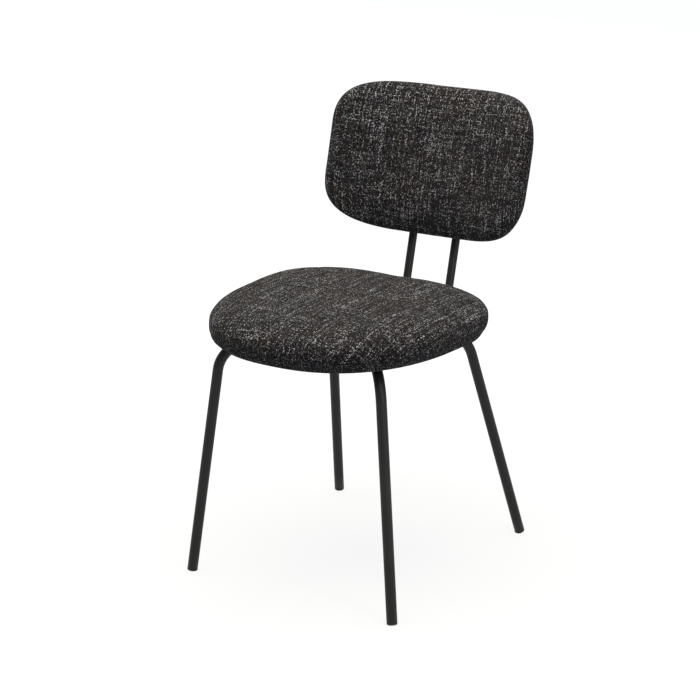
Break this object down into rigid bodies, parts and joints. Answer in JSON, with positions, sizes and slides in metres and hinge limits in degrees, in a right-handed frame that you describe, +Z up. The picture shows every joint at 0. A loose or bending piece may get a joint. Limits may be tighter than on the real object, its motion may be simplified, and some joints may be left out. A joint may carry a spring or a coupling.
{
  "type": "dining chair",
  "caption": "Fixed dining chair with a padded round-cornered seat, a padded curved back pad on two steel posts, and bent round steel tube legs.",
  "frame": {"origin": "on the floor, under the middle of the chair's bounding box", "axes": "+Z up; the front of the chair faces -Y; +X is to the right as the chair is seen from the front; symmetric about X = 0"},
  "size_m": [0.4474, 0.6044, 0.7924],
  "materials": {
    "steel": "satin black powder coat",
    "glide": "moulded, matt",
    "tweed": "charcoal melange tweed with pale flecks",
    "foam": "open-cell upholstery foam",
    "plywood": "raw birch plywood",
    "dust_cover": "black spun-bonded non-woven",
    "zinc": "zinc plated"
  },
  "bodies": {
    "root": {"front_left_leg": "steel", "front_left_glide": "glide", "front_left_bolt": "zinc", "front_left_tee_nut": "zinc", "front_right_leg": "steel", "front_right_glide": "glide", "front_right_bolt": "zinc", "front_right_tee_nut": "zinc", "rear_left_leg": "steel", "rear_left_glide": "glide", "rear_left_bolt": "zinc", "rear_left_tee_nut": "zinc", "rear_right_leg": "steel", "rear_right_glide": "glide", "rear_right_bolt": "zinc", "rear_right_tee_nut": "zinc", "frame_hub": "steel", "left_back_post": "steel", "left_post_bolt": "zinc", "left_post_tee_nut": "zinc", "left_lower_back_bolt": "zinc", "left_lower_back_tee_nut": "zinc", "left_upper_back_bolt": "zinc", "left_upper_back_tee_nut": "zinc", "right_back_post": "steel", "right_post_bolt": "zinc", "right_post_tee_nut": "zinc", "right_lower_back_bolt": "zinc", "right_lower_back_tee_nut": "zinc", "right_upper_back_bolt": "zinc", "right_upper_back_tee_nut": "zinc", "seat_board": "plywood", "seat_foam": "foam", "seat_cover": "tweed", "seat_dust_cover": "dust_cover", "back_board": "plywood", "back_front_foam": "foam", "back_rear_foam": "foam", "back_cover": "tweed"}
  },
  "joints": []
}
